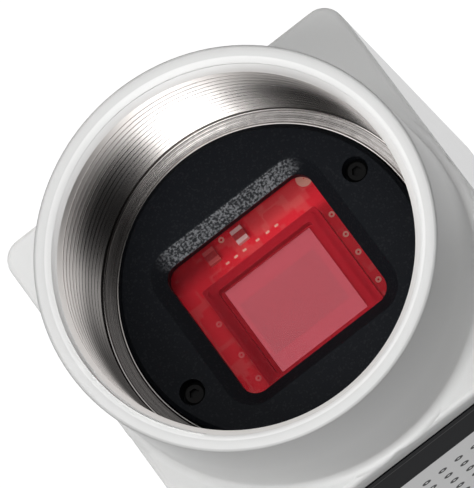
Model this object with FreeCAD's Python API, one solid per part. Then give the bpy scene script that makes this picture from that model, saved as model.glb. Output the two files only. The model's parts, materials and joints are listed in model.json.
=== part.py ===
"""Cube-type machine vision camera with a C-mount barrel, built as the pieces it comes apart into.

The pieces are drawn about the optical axis: X to the right seen from the front, Y along the axis
from the front of the lens mount (y = 0) to the connectors, Z up. On export they are moved so that
the origin is the middle of the base the camera stands on. Millimetres.
"""
import FreeCAD, Part
import math
import os

V = FreeCAD.Vector
AXIS_Y = V(0, 1, 0)

# ---- overall ---------------------------------------------------------------------------------
HOUSING_SIDE = 29.0        # square section of the body
HOUSING_LENGTH = 42.0      # flange front to rear face
CORNER_R = 1.6             # long edges of the body
EDGE_R = 0.45              # rounding of the cast pieces' outer edges

# ---- lens mount (C-mount, 1 inch x 32 threads per inch) -----------------------------------------
MOUNT_LENGTH = 13.0        # mount front to flange front
THREAD_R = 12.7            # root of the internal thread
BARREL_WALL = 1.2
BARREL_EDGE = 0.16         # chamfer round the nose
MOUNT_CHAMFER = 0.36       # lead-in of the thread
THREAD_RELIEF = (0.25, 0.85)    # depth and length of the groove the thread runs out in
THREAD_END = 11.7          # where the groove meets the shoulder
SHOULDER_WIDTH = 1.56
SHOULDER_DROP = 0.58       # how far the shoulder's cone runs back
FLANGE_FOCAL = 17.526      # mount front to sensor surface
FLARE = 0.75               # height of the concave flare between barrel and flange
FLARE_STEPS = 4

# ---- cast front housing -------------------------------------------------------------------------
FLANGE_T = 1.8
SEAL_T = 0.5               # black seal squeezed between flange and sleeve
SEAL_INSET = 0.2           # seal's edge below the housing's face
SHELL_WALL = 1.3
SPIGOT_CLEARANCE = 0.1
WEB_T = 1.6                # wall behind the filter frame
FLARE_OVERRUN = 0.1        # flare's foot past the flat sides, which cut it
SPIGOT_OVERLAP = 0.5       # spigot's root inside the flange
SPIGOT_WALL = 3.1          # wall round the sensor pocket
WEB_WINDOW = (14.6, 14.2)
POCKET_R = 2.0

# ---- filter frame and filter --------------------------------------------------------------------
FRAME_CLEARANCE = 0.14     # in the bore behind the shoulder
FRAME_FRONT = 11.1         # y of its front face
FRAME_BACK = 13.6
FRAME_EDGE = 0.3           # chamfer round its front
APERTURE = (12.2, 11.05)
APERTURE_R = 1.2
FUNNEL = 1.0               # width of the bevel round the aperture
FUNNEL_DEPTH = 0.9
FILTER_T = 0.7
FILTER_LEDGE = 0.45        # overlap of filter and frame
FILTER_CLEARANCE = 0.1
FRAME_SCREW_INSET = 1.73   # screws from the edge of the bore
FRAME_SCREW_ANGLE = 17.0   # degrees above the horizontal
FRAME_SCREW_R = 0.55
FRAME_SCREW_HEAD_R = 0.8
FRAME_SCREW_HEAD_T = 0.6
FRAME_BORE_R = 0.92
FRAME_BORE_DEPTH = 1.2

# ---- image sensor -------------------------------------------------------------------------------
PACKAGE = (9.9, 8.8)
PACKAGE_RIM = 0.9
PACKAGE_STEP = 0.62        # rim top above the sensor's surface
DIE = (7.4, 7.2)
DIE_T = 0.2
COVER_GLASS_T = 0.45
COVER_GLASS_INSET = 0.25
SENSOR_SEAT = 1.1          # sensor surface to board
SEAL_RING = (19.4, 19.4)
SEAL_RING_HOLE = (15.0, 16.4)

# ---- rear plate ---------------------------------------------------------------------------------
REAR_PLATE_T = 2.2
REAR_SPIGOT = 1.2
REAR_SPIGOT_WALL = 1.6

# ---- fastening ----------------------------------------------------------------------------------
TIE_EDGE = 3.2             # tie screws from the body's faces
TIE_R = 1.0                # M2
TIE_HEAD_R = 1.85
TIE_HEAD_T = 1.05
TIE_CLEARANCE = 0.2
TIE_ENGAGEMENT = 3.6
POST_SIDE = 5.1            # corner posts' inner faces from the body's faces
POST_R = 1.7
POST_GAP = 0.3
THREAD_FIT = 0.03          # drawn clearance of a screw in its thread
BASE_SCREW_R = 1.5         # M3
BASE_SCREW_DEPTH = 2.8
BASE_SCREW_PITCH = 22.0
BASE_BOSS_R = 3.2
BASE_BOSS_TOP = 3.2
BASE_BOSS_GAP = 0.6        # front boss to the sensor board
LOCK_SCREW_R = 1.0         # M2, for the plug's thumb screws
LOCK_SCREW_PITCH = 21.0
BOARD_SCREW_R = 0.78       # M1.6
BOARD_SCREW_HEAD_R = 1.35
BOARD_SCREW_HEAD_T = 0.9
BOARD_SCREW_EDGE = 3.0     # from the body's side faces
BOARD_SCREW_Z = 5.5
BOARD_SCREW_BITE = 2.4

# ---- label --------------------------------------------------------------------------------------
LABEL_T = 0.12
LABEL_WIDTH = 26.4
LABEL_LENGTH = 34.0
LABEL_DEPTH = 0.16
LABEL_CLEARANCE = 0.06
LABEL_R = 0.8

# ---- boards -------------------------------------------------------------------------------------
BOARD_T = 1.6
BOARD_EDGE = 0.4           # boards to the sleeve's inner faces
SLIM_BOARD_T = 1.2         # processor board
POWER_BOARD_T = 1.0
BOARD_LIFT = 0.5           # processor board above the base bosses
JACK_TO_BOARD = 0.7        # jack's top to the power board
BOARD_END_GAP = 0.8
LINK = (14.0, 4.0)         # board-to-board connector, width and height
LINK_PLUG_T = 1.6
LINK_SOCKET_T = 3.6
PROCESSOR = (9.6, 1.1)     # side and height
PAD_MARGIN = 0.2
MEMORY = (5.4, 5.8, 1.0)
MEMORY_X = 3.4
TRANSFORMER = (12.6, 5.8, 3.4)
HEADER = (1.7, 10.4)
PILLAR_R = 1.2
COIL = (5.2, 5.2, 2.8)
COIL_X = 6.0
CAPACITOR_R = 1.9
CAPACITOR_H = 5.2
CAPACITOR_PITCH = 5.0
LED = (1.6, 1.2, 0.7)
CHIP_GAP = 0.8             # least room between parts on a board
FRONT_CAPACITOR = (0.9, 0.5, 1.1)
FRONT_CAPACITOR_X = (0.55, 3.0)
FRONT_CAPACITOR_Z = -6.5

# ---- network jack -------------------------------------------------------------------------------
JACK = (15.9, 11.6)
JACK_DEPTH = 16.0
JACK_PROUD = 0.3
JACK_WALL = 0.25
JACK_HOLE_CLEARANCE = 0.12
PORT = (11.8, 6.8)
PORT_DEPTH = 12.2
PORT_FLOOR = 2.6           # port floor above the jack's base
LATCH_SLOT = (6.2, 1.9)
LATCH_LEDGE = (3.4, 0.9)
CONTACT_PITCH = 1.02
CONTACT = 0.36             # width and thickness of a contact spring
CONTACT_COUNT = 8
CONTACT_FRONT = 2.6        # springs' fixed ends behind the jack's front
CONTACT_BACK = 1.2         # free ends before the port's end
CONTACT_DROP = 1.8

# ---- round input/output connector ---------------------------------------------------------------
IO_X = 5.0
IO_TOP = 6.9               # axis below the body's top face
IO_PROUD = 5.3
IO_R = 4.0
IO_BORE_R = 3.35
IO_FLANGE_R = 4.9
IO_FLANGE_T = 1.0
IO_BORE_DEPTH = 4.6
IO_BODY_LENGTH = 7.0       # behind the plate's rear face
IO_NUT_R = 4.6
IO_NUT_T = 1.4
IO_PIN_R = 0.3
IO_PIN_CIRCLE_R = 1.75
IO_PINS = 6
IO_KEY = 0.7               # width of the polarising key
IO_KEY_SHORT = 1.0         # key's end below the shell's mouth
IO_PIN_SHORT = 1.6         # pins' ends below the shell's mouth
IO_STEP = 0.15             # mouth's outside inside the body's
IO_GROOVE = 0.3
IO_GROOVE_Y = (1.0, 1.9)   # groove from the mouth
IO_WALL = 1.0              # closed rear end
IO_FIT = 0.02

# ---- status light -------------------------------------------------------------------------------
LIGHT_X = -6.5
LIGHT_TOP = 6.1
LIGHT_R = 1.1
LIGHT_PROUD = 0.15
LIGHT_ARM = 1.6

# ---- stations along the axis --------------------------------------------------------------------
HALF = HOUSING_SIDE / 2
BARREL_R = THREAD_R + BARREL_WALL
FRAME_SEAT_R = THREAD_R - SHOULDER_WIDTH       # bore that takes the filter frame
FRAME_SCREW_X = (FRAME_SEAT_R - FRAME_SCREW_INSET) * math.cos(math.radians(FRAME_SCREW_ANGLE))
FRAME_SCREW_Z = (FRAME_SEAT_R - FRAME_SCREW_INSET) * math.sin(math.radians(FRAME_SCREW_ANGLE))
INNER_SIDE = HOUSING_SIDE - 2 * SHELL_WALL
SPIGOT_SIDE = INNER_SIDE - 2 * SPIGOT_CLEARANCE
SENSOR_POCKET = SPIGOT_SIDE - 2 * SPIGOT_WALL
TIE_AT = HALF - TIE_EDGE
POST_IN = HALF - POST_SIDE
BOARD_SCREW_X = HALF - BOARD_SCREW_EDGE
Y_FLANGE = MOUNT_LENGTH
Y_FLANGE_BACK = Y_FLANGE + FLANGE_T
Y_SLEEVE = Y_FLANGE_BACK + SEAL_T
Y_REAR = Y_FLANGE + HOUSING_LENGTH
Y_PLATE = Y_REAR - REAR_PLATE_T
Y_END = Y_REAR + IO_PROUD
Y_WEB_BACK = FRAME_BACK + WEB_T
Y_BOARD = FLANGE_FOCAL + SENSOR_SEAT
Y_BOARD_BACK = Y_BOARD + BOARD_T
Y_LINK = Y_BOARD_BACK + LINK_PLUG_T
Y_SOCKET_END = Y_LINK + LINK_SOCKET_T
Y_BASE_SCREWS = (Y_BOARD_BACK + BASE_BOSS_GAP + BASE_BOSS_R,
                 Y_BOARD_BACK + BASE_BOSS_GAP + BASE_BOSS_R + BASE_SCREW_PITCH)
Y_BOARD_END = Y_PLATE - REAR_SPIGOT - BOARD_END_GAP
Y_POWER_END = Y_REAR - IO_BODY_LENGTH - 2 * BOARD_END_GAP
Y_JACK_END = Y_REAR + JACK_PROUD
Y_JACK = Y_JACK_END - JACK_DEPTH
Y_LIGHT = Y_POWER_END - BOARD_END_GAP - LIGHT_ARM / 2
Z_BASE = -INNER_SIDE / 2
Z_BOARD = -HALF + BASE_BOSS_TOP + BOARD_LIFT + SLIM_BOARD_T    # processor board's upper face
JACK_MID_Z = Z_BOARD + JACK[1] / 2
Z_POWER = Z_BOARD + JACK[1] + JACK_TO_BOARD                    # power board's lower face
Z_POWER_TOP = Z_POWER + POWER_BOARD_T
IO_Z = HALF - IO_TOP
LIGHT_Z = HALF - LIGHT_TOP
ORIGIN = V(0, Y_END / 2, -HALF)


# ---- helpers ------------------------------------------------------------------------------------
def rounded_outline(width, height, radius, y, x=0.0, z=0.0):
    """Closed wire of a rectangle with round corners, in the plane across the axis at y."""
    a, b = width / 2, height / 2
    if radius <= 0:
        corners = [V(x - a, y, z - b), V(x + a, y, z - b), V(x + a, y, z + b), V(x - a, y, z + b)]
        return Part.makePolygon(corners + corners[:1])
    edges = []
    k = radius * (1 - math.sqrt(0.5))
    quarters = [(1, 1), (-1, 1), (-1, -1), (1, -1)]
    ends = []
    for sx, sz in quarters:
        on_side = V(x + sx * a, y, z + sz * (b - radius))
        on_top = V(x + sx * (a - radius), y, z + sz * b)
        middle = V(x + sx * (a - k), y, z + sz * (b - k))
        first, last = (on_side, on_top) if sx * sz > 0 else (on_top, on_side)
        edges.append(Part.Arc(first, middle, last).toShape())
        ends.append((first, last))
        if len(ends) > 1:
            edges.append(Part.makeLine(ends[-2][1], first))
    edges.append(Part.makeLine(ends[-1][1], ends[0][0]))
    return Part.Wire(Part.__sortEdges__(edges))


def bar(width, height, radius, y0, y1, x=0.0, z=0.0):
    """Prism along the axis with a round-cornered section."""
    face = Part.Face(rounded_outline(width, height, radius, y0, x, z))
    return face.extrude(V(0, y1 - y0, 0))


def block(x0, x1, y0, y1, z0, z1):
    return Part.makeBox(x1 - x0, y1 - y0, z1 - z0, V(x0, y0, z0))


def rod(radius, y0, y1, x=0.0, z=0.0):
    """Cylinder along the axis."""
    return Part.makeCylinder(radius, y1 - y0, V(x, y0, z), AXIS_Y)


def post(radius, z0, z1, x, y):
    """Upright cylinder."""
    return Part.makeCylinder(radius, z1 - z0, V(x, y, z0), V(0, 0, 1))


def turned(points, x=0.0, z=0.0):
    """Solid of revolution about a line along Y; points are (radius, y) corners."""
    corners = [V(x + r, y, z) for r, y in points]
    face = Part.Face(Part.makePolygon(corners + corners[:1]))
    return face.revolve(V(x, 0, z), AXIS_Y, 360)


def joined(pieces):
    """One solid from pieces that touch."""
    whole = pieces[0]
    if len(pieces) > 1:
        whole = pieces[0].multiFuse(pieces[1:])
    return whole.removeSplitter()


def rim_edges(shape, y):
    """Edges of a shape that lie wholly in the plane at y."""
    flat = []
    for edge in shape.Edges:
        box = edge.BoundBox
        if abs(box.YMin - y) < 1e-4 and abs(box.YMax - y) < 1e-4:
            flat.append(edge)
    return flat


def four(x, z):
    return [(sx * x, sz * z) for sx in (-1, 1) for sz in (-1, 1)]


def hexagon(across_flats, start, run):
    """Six-sided bar from start along run, which is level along the axis or upright."""
    radius = across_flats / math.sqrt(3)
    upright = abs(run.z) > abs(run.y)
    corners = []
    for i in range(6):
        a = radius * math.cos(math.radians(60 * i))
        b = radius * math.sin(math.radians(60 * i))
        corners.append(start + (V(a, b, 0) if upright else V(a, 0, b)))
    return Part.Face(Part.makePolygon(corners + corners[:1])).extrude(run)


def socket_screw(shank_r, head_r, head_t, seat, tip, x, z):
    """Cap screw along the axis: seat is the y its head sits on, tip the far end of its shank."""
    out = 1 if seat > tip else -1
    top = seat + out * head_t
    edge = head_r / 5
    solid = turned([(0, tip), (shank_r, tip), (shank_r, seat), (head_r, seat),
                    (head_r, top - out * edge), (head_r - edge, top), (0, top)], x, z)
    depth = head_t * 0.6
    return solid.cut(hexagon(head_r * 0.85, V(x, top - out * depth, z), V(0, 2 * out * depth, 0)))


def corner_posts(y0, y1, grow=0.0):
    """The sleeve's four corner posts, or with grow the room they need in another piece."""
    inner = POST_IN - grow
    outer = HALF - SHELL_WALL / 2 + grow
    posts = []
    for sx, sz in four(1, 1):
        x = sorted((sx * inner, sx * outer))
        z = sorted((sz * inner, sz * outer))
        column = block(x[0], x[1], y0, y1, z[0], z[1])
        edge = [e for e in column.Edges
                if abs(e.CenterOfMass.x - sx * inner) < 1e-6
                and abs(e.CenterOfMass.z - sz * inner) < 1e-6]
        posts.append(column.makeFillet(POST_R, edge))
    return posts


def board_with_notches(y0, y1):
    """Square board across the axis that clears the corner posts."""
    side = INNER_SIDE - 2 * BOARD_EDGE
    board = bar(side, side, 0, y0, y1)
    for notch in corner_posts(y0 - 1, y1 + 1, BOARD_EDGE):
        board = board.cut(notch)
    return board


# ---- lens mount and front housing ---------------------------------------------------------------
def barrel_outside():
    """Outer form of the mount: chamfered nose, cylinder and the concave flare to the flange."""
    root = HALF + FLARE_OVERRUN
    inside = Y_FLANGE + FLANGE_T / 2
    points = [(0, 0), (BARREL_R - BARREL_EDGE, 0), (BARREL_R, BARREL_EDGE)]
    for i in range(FLARE_STEPS + 1):
        turn = math.pi / 2 * i / FLARE_STEPS
        points.append((root - (root - BARREL_R) * math.cos(turn),
                       Y_FLANGE - FLARE * (1 - math.sin(turn))))
    return turned(points + [(root, inside), (0, inside)])


def front_housing():
    flange = bar(HOUSING_SIDE, HOUSING_SIDE, CORNER_R, Y_FLANGE, Y_FLANGE_BACK)
    flange = flange.makeFillet(EDGE_R, rim_edges(flange, Y_FLANGE))
    inside = bar(HOUSING_SIDE, HOUSING_SIDE, CORNER_R, 0, Y_FLANGE_BACK)
    barrel = barrel_outside().common(inside)
    spigot = bar(SPIGOT_SIDE, SPIGOT_SIDE, CORNER_R, Y_FLANGE_BACK - SPIGOT_OVERLAP, Y_BOARD)
    body = joined([flange, barrel, spigot])

    mouth = THREAD_R + MOUNT_CHAMFER
    groove = THREAD_END - THREAD_RELIEF[1]
    bore = turned([
        (0, -1), (mouth, -1), (mouth, 0), (THREAD_R, MOUNT_CHAMFER), (THREAD_R, groove),
        (THREAD_R + THREAD_RELIEF[0], groove), (THREAD_R + THREAD_RELIEF[0], THREAD_END),
        (FRAME_SEAT_R, THREAD_END + SHOULDER_DROP), (FRAME_SEAT_R, FRAME_BACK), (0, FRAME_BACK),
    ])
    window = bar(WEB_WINDOW[0], WEB_WINDOW[1], POCKET_R, FRAME_BACK - 1, Y_WEB_BACK + 1)
    pocket = bar(SENSOR_POCKET, SENSOR_POCKET, POCKET_R, Y_WEB_BACK, Y_BOARD + 1)
    cuts = [bore, window, pocket]
    for side in (-1, 1):
        cuts.append(rod(FRAME_SCREW_R + THREAD_FIT, FRAME_BACK - 1, Y_WEB_BACK + 1,
                        side * FRAME_SCREW_X, side * FRAME_SCREW_Z))
    for x, z in four(TIE_AT, TIE_AT):
        cuts.append(rod(TIE_R + THREAD_FIT, Y_BOARD - TIE_ENGAGEMENT - 0.6, Y_BOARD + 1, x, z))
    for x, z in four(BOARD_SCREW_X, BOARD_SCREW_Z):
        cuts.append(rod(BOARD_SCREW_R + THREAD_FIT, Y_BOARD - BOARD_SCREW_BITE - 0.3, Y_BOARD + 1, x, z))
    return body.cut(cuts)


def housing_seal():
    """Flat black seal between the flange and the sleeve."""
    outer = HOUSING_SIDE - 2 * SEAL_INSET
    ring = bar(outer, outer, CORNER_R, Y_FLANGE_BACK, Y_SLEEVE)
    hole = SPIGOT_SIDE + SPIGOT_CLEARANCE
    return ring.cut(bar(hole, hole, CORNER_R, Y_FLANGE_BACK - 1, Y_SLEEVE + 1))


# ---- filter -------------------------------------------------------------------------------------
def filter_frame():
    r = FRAME_SEAT_R - FRAME_CLEARANCE
    disc = turned([(0, FRAME_FRONT), (r - FRAME_EDGE, FRAME_FRONT), (r, FRAME_FRONT + FRAME_EDGE),
                   (r, FRAME_BACK), (0, FRAME_BACK)])
    wide = rounded_outline(APERTURE[0] + 2 * FUNNEL, APERTURE[1] + 2 * FUNNEL, APERTURE_R + FUNNEL,
                           FRAME_FRONT)
    narrow = rounded_outline(APERTURE[0], APERTURE[1], APERTURE_R, FRAME_FRONT + FUNNEL_DEPTH)
    funnel = Part.makeLoft([wide, narrow], True, True)
    light_way = bar(APERTURE[0], APERTURE[1], APERTURE_R, FRAME_FRONT - 1, FRAME_BACK + 1)
    bed = bar(APERTURE[0] + 2 * FILTER_LEDGE, APERTURE[1] + 2 * FILTER_LEDGE, APERTURE_R / 2,
              FRAME_BACK - FILTER_T - FILTER_CLEARANCE, FRAME_BACK + 1)
    cuts = [funnel, light_way, bed]
    for side in (-1, 1):
        x, z = side * FRAME_SCREW_X, side * FRAME_SCREW_Z
        cuts.append(rod(FRAME_BORE_R, FRAME_FRONT - 1, FRAME_FRONT + FRAME_BORE_DEPTH, x, z))
        cuts.append(rod(FRAME_SCREW_R + FILTER_CLEARANCE, FRAME_FRONT, FRAME_BACK + 1, x, z))
    return disc.cut(cuts)


def filter_glass():
    inset = FILTER_LEDGE - FILTER_CLEARANCE
    back = FRAME_BACK - FILTER_CLEARANCE
    return bar(APERTURE[0] + 2 * inset, APERTURE[1] + 2 * inset, APERTURE_R / 3,
               back - FILTER_T, back)


def filter_frame_screws():
    seat = FRAME_FRONT + FRAME_BORE_DEPTH
    return Part.makeCompound([
        socket_screw(FRAME_SCREW_R, FRAME_SCREW_HEAD_R, FRAME_SCREW_HEAD_T, seat, Y_WEB_BACK - 0.2,
                     side * FRAME_SCREW_X, side * FRAME_SCREW_Z) for side in (-1, 1)])


# ---- sensor -------------------------------------------------------------------------------------
def sensor_package():
    top = FLANGE_FOCAL - PACKAGE_STEP
    body = bar(PACKAGE[0], PACKAGE[1], 0.2, top, Y_BOARD)
    cavity = bar(PACKAGE[0] - 2 * PACKAGE_RIM, PACKAGE[1] - 2 * PACKAGE_RIM + 0.5, 0.3, top - 1,
                 FLANGE_FOCAL + DIE_T)
    return body.cut(cavity)


def sensor_die():
    return bar(DIE[0], DIE[1], 0, FLANGE_FOCAL, FLANGE_FOCAL + DIE_T)


def sensor_cover_glass():
    seat = FLANGE_FOCAL - PACKAGE_STEP
    return bar(PACKAGE[0] - 2 * COVER_GLASS_INSET, PACKAGE[1] - 2 * COVER_GLASS_INSET, 0.3,
               seat - COVER_GLASS_T, seat)


def sensor_seal():
    """Soft dust seal between the housing's web and the board, round the sensor."""
    ring = bar(SEAL_RING[0], SEAL_RING[1], POCKET_R, Y_WEB_BACK, Y_BOARD)
    return ring.cut(bar(SEAL_RING_HOLE[0], SEAL_RING_HOLE[1], 1.0, Y_WEB_BACK - 1, Y_BOARD + 1))


def sensor_board():
    board = board_with_notches(Y_BOARD, Y_BOARD_BACK)
    holes = [rod(BOARD_SCREW_R + 0.12, Y_BOARD - 1, Y_BOARD_BACK + 1, x, z)
             for x, z in four(BOARD_SCREW_X, BOARD_SCREW_Z)]
    return board.cut(holes)


def chip(size, x, y0, z0):
    """Flat part standing on a horizontal board: size is width, length and height."""
    return block(x - size[0] / 2, x + size[0] / 2, y0, y0 + size[1], z0, z0 + size[2])


def sensor_board_chips():
    """Small parts on the board: two capacitors in front, regulators and a clock behind."""
    w, t, h = FRONT_CAPACITOR
    parts = [block(x - w / 2, x + w / 2, Y_BOARD - t, Y_BOARD, FRONT_CAPACITOR_Z - h / 2,
                   FRONT_CAPACITOR_Z + h / 2) for x in FRONT_CAPACITOR_X]
    for x, z, w, h, t in ((-5.5, 6.5, 4.0, 4.0, 0.9), (1.0, 7.0, 3.2, 2.5, 0.8),
                          (6.5, 6.5, 2.8, 2.8, 1.0), (-5.5, 0.5, 2.0, 1.2, 0.8),
                          (5.5, 0.5, 2.0, 1.2, 0.8)):
        parts.append(block(x - w / 2, x + w / 2, Y_BOARD_BACK, Y_BOARD_BACK + t, z - h / 2, z + h / 2))
    return Part.makeCompound(parts)


def sensor_board_screws():
    return Part.makeCompound([
        socket_screw(BOARD_SCREW_R, BOARD_SCREW_HEAD_R, BOARD_SCREW_HEAD_T, Y_BOARD_BACK,
                     Y_BOARD - BOARD_SCREW_BITE, x, z) for x, z in four(BOARD_SCREW_X, BOARD_SCREW_Z)])


# ---- boards behind the sensor -------------------------------------------------------------------
def sensor_link_plug():
    return chip((LINK[0], LINK_PLUG_T, LINK[1]), 0, Y_BOARD_BACK, Z_BOARD)


def processor_link_socket():
    return chip((LINK[0], LINK_SOCKET_T, LINK[1]), 0, Y_LINK, Z_BOARD)


def processor_board():
    half = POST_IN - BOARD_EDGE + 0.1
    return block(-half, half, Y_LINK, Y_BOARD_END, Z_BOARD - SLIM_BOARD_T, Z_BOARD)


def processor_place():
    """Front edge and underside of the processor, between the base bosses under its board."""
    return Y_BASE_SCREWS[0] + BASE_BOSS_R + PAD_MARGIN, Z_BOARD - SLIM_BOARD_T - PROCESSOR[1]


def processor_chip():
    y, z = processor_place()
    return chip((PROCESSOR[0], PROCESSOR[0], PROCESSOR[1]), 0, y, z)


def processor_heat_pad():
    y, z = processor_place()
    side = PROCESSOR[0] - 2 * PAD_MARGIN
    return chip((side, side, z - Z_BASE), 0, y + PAD_MARGIN, Z_BASE)


def memory_chips():
    """Two chips behind the socket, shorter ones where the transformer leaves less room."""
    front = Y_SOCKET_END + CHIP_GAP
    room = Y_JACK - 2 * CHIP_GAP - TRANSFORMER[1] - front
    size = (MEMORY[0], min(MEMORY[1], room + CHIP_GAP / 2), MEMORY[2])
    return Part.makeCompound([chip(size, side * MEMORY_X, front, Z_BOARD) for side in (-1, 1)])


def network_transformer():
    return chip(TRANSFORMER, 0, Y_JACK - CHIP_GAP - TRANSFORMER[1], Z_BOARD)


def board_header():
    """Pin header that joins the processor board to the power board."""
    x = -POST_IN + BOARD_EDGE + HEADER[0] / 2
    return chip((HEADER[0], HEADER[1], Z_POWER - Z_BOARD), x, Y_SOCKET_END + CHIP_GAP, Z_BOARD)


def board_pillars():
    """Two pillars between the boards and four feet between processor board and sleeve."""
    reach = POST_IN - BOARD_EDGE - PILLAR_R
    fore = Y_SOCKET_END + CHIP_GAP + PILLAR_R
    aft = Y_JACK - CHIP_GAP - PILLAR_R
    width = PILLAR_R * math.sqrt(3)
    pillars = [hexagon(width, V(reach, y, Z_BOARD), V(0, 0, Z_POWER - Z_BOARD)) for y in (fore, aft)]
    feet = [hexagon(width, V(side * reach, y, Z_BASE), V(0, 0, Z_BOARD - SLIM_BOARD_T - Z_BASE))
            for side in (-1, 1) for y in (fore, aft)]
    return Part.makeCompound(pillars + feet)


def power_board():
    half = INNER_SIDE / 2 - BOARD_EDGE
    return block(-half, half, Y_LINK, Y_POWER_END, Z_POWER, Z_POWER_TOP)


def power_coils():
    return Part.makeCompound([chip(COIL, side * COIL_X, Y_LINK + 4 * CHIP_GAP, Z_POWER_TOP)
                              for side in (-1, 1)])


def power_capacitors():
    y = Y_LINK + 4 * CHIP_GAP + COIL[1] + 2 * CHIP_GAP + CAPACITOR_R
    return Part.makeCompound([post(CAPACITOR_R, Z_POWER_TOP, Z_POWER_TOP + CAPACITOR_H, x, y)
                              for x in (-CAPACITOR_PITCH, 0, CAPACITOR_PITCH)])


def status_led():
    return chip(LED, LIGHT_X, Y_LIGHT - LED[1] / 2, Z_POWER_TOP)


# ---- sleeve, label and rear plate ---------------------------------------------------------------
def housing_sleeve():
    outer = bar(HOUSING_SIDE, HOUSING_SIDE, CORNER_R, Y_SLEEVE, Y_PLATE)
    inner = bar(INNER_SIDE, INNER_SIDE, CORNER_R - 0.4, Y_SLEEVE - 1, Y_PLATE + 1)
    posts = corner_posts(Y_BOARD + POST_GAP, Y_PLATE)
    bosses = [post(BASE_BOSS_R, -HALF + SHELL_WALL / 2, -HALF + BASE_BOSS_TOP, 0, y)
              for y in Y_BASE_SCREWS]
    sleeve = joined([outer.cut(inner)] + posts + bosses)
    cuts = [rod(TIE_R + TIE_CLEARANCE, Y_BOARD, Y_PLATE + 1, x, z) for x, z in four(TIE_AT, TIE_AT)]
    for y in Y_BASE_SCREWS:
        cuts.append(post(BASE_SCREW_R, -HALF - 1, -HALF + BASE_SCREW_DEPTH, 0, y))
    cuts.append(label_outline(Y_SLEEVE - 1, LABEL_DEPTH, LABEL_CLEARANCE))
    return sleeve.cut(cuts)


def label_outline(y0, depth, grow):
    """Flat block on the top face, open to the front, with rounded rear corners."""
    half = LABEL_WIDTH / 2 + grow
    end = Y_SLEEVE + LABEL_LENGTH + grow
    plate = block(-half, half, y0, end, HALF - depth, HALF + (1 if grow else LABEL_T - depth))
    corners = [e for e in plate.Edges
               if abs(e.CenterOfMass.y - end) < 1e-6 and abs(abs(e.CenterOfMass.x) - half) < 1e-6]
    return plate.makeFillet(LABEL_R, corners)


def nameplate():
    return label_outline(Y_SLEEVE + LABEL_CLEARANCE, LABEL_DEPTH, 0)


def rear_plate():
    plate = bar(HOUSING_SIDE, HOUSING_SIDE, CORNER_R, Y_PLATE, Y_REAR)
    plate = plate.makeChamfer(EDGE_R, rim_edges(plate, Y_REAR))
    spigot = bar(SPIGOT_SIDE, SPIGOT_SIDE, CORNER_R, Y_PLATE - REAR_SPIGOT, Y_PLATE + 0.5)
    hollow = SPIGOT_SIDE - 2 * REAR_SPIGOT_WALL
    spigot = spigot.cut([bar(hollow, hollow, 1.0, Y_PLATE - REAR_SPIGOT - 1, Y_PLATE)]
                        + corner_posts(Y_PLATE - REAR_SPIGOT - 1, Y_PLATE, 0.2))
    ears = [rod(LOCK_SCREW_R + 0.9, Y_PLATE - REAR_SPIGOT, Y_PLATE + 0.5, x, JACK_MID_Z)
            for x in (-LOCK_SCREW_PITCH / 2, LOCK_SCREW_PITCH / 2)]
    body = joined([plate, spigot] + ears)
    gap = 2 * JACK_HOLE_CLEARANCE
    cuts = [bar(JACK[0] + gap, JACK[1] + gap, 0.2, Y_PLATE - 5, Y_REAR + 1, 0, JACK_MID_Z),
            rod(IO_R + 0.1, Y_PLATE - 5, Y_REAR + 1, IO_X, IO_Z),
            rod(IO_NUT_R + 0.2, Y_PLATE - 5, Y_PLATE, IO_X, IO_Z),
            rod(LIGHT_R + 0.1, Y_PLATE - 5, Y_REAR + 1, LIGHT_X, LIGHT_Z)]
    for x in (-LOCK_SCREW_PITCH / 2, LOCK_SCREW_PITCH / 2):
        cuts.append(rod(LOCK_SCREW_R, Y_PLATE - REAR_SPIGOT - 1, Y_REAR + 1, x, JACK_MID_Z))
    for x, z in four(TIE_AT, TIE_AT):
        cuts.append(rod(TIE_R + TIE_CLEARANCE, Y_PLATE - 5, Y_REAR + 1, x, z))
        sink = TIE_HEAD_R - TIE_R
        cuts.append(turned([(0, Y_REAR - TIE_HEAD_T - 0.15), (TIE_R + 0.1, Y_REAR - TIE_HEAD_T - 0.15),
                            (TIE_R + sink + 0.1, Y_REAR - 0.3), (TIE_R + sink + 0.1, Y_REAR + 1),
                            (0, Y_REAR + 1)], x, z))
    return body.cut(cuts)


def tie_screws():
    """Four long countersunk screws that clamp plate, sleeve and front housing together."""
    screws = []
    head_top = Y_REAR - 0.2
    for x, z in four(TIE_AT, TIE_AT):
        screw = turned([(0, Y_BOARD - TIE_ENGAGEMENT), (TIE_R - 0.25, Y_BOARD - TIE_ENGAGEMENT),
                        (TIE_R, Y_BOARD - TIE_ENGAGEMENT + 0.3), (TIE_R, head_top - TIE_HEAD_T + 0.15),
                        (TIE_HEAD_R - 0.1, head_top - 0.15), (TIE_HEAD_R - 0.1, head_top),
                        (0, head_top)], x, z)
        socket = hexagon(1.3, V(x, head_top - 0.7, z), V(0, 1, 0))
        screws.append(screw.cut(socket))
    return Part.makeCompound(screws)


# ---- network jack -------------------------------------------------------------------------------
def jack_shield():
    y_end = Y_JACK_END
    case = bar(JACK[0], JACK[1], 0.3, Y_JACK, y_end, 0, JACK_MID_Z)
    room = bar(JACK[0] - 2 * JACK_WALL, JACK[1] - 2 * JACK_WALL, 0.15, Y_JACK + JACK_WALL, y_end + 1,
               0, JACK_MID_Z)
    return case.cut(room)


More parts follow.
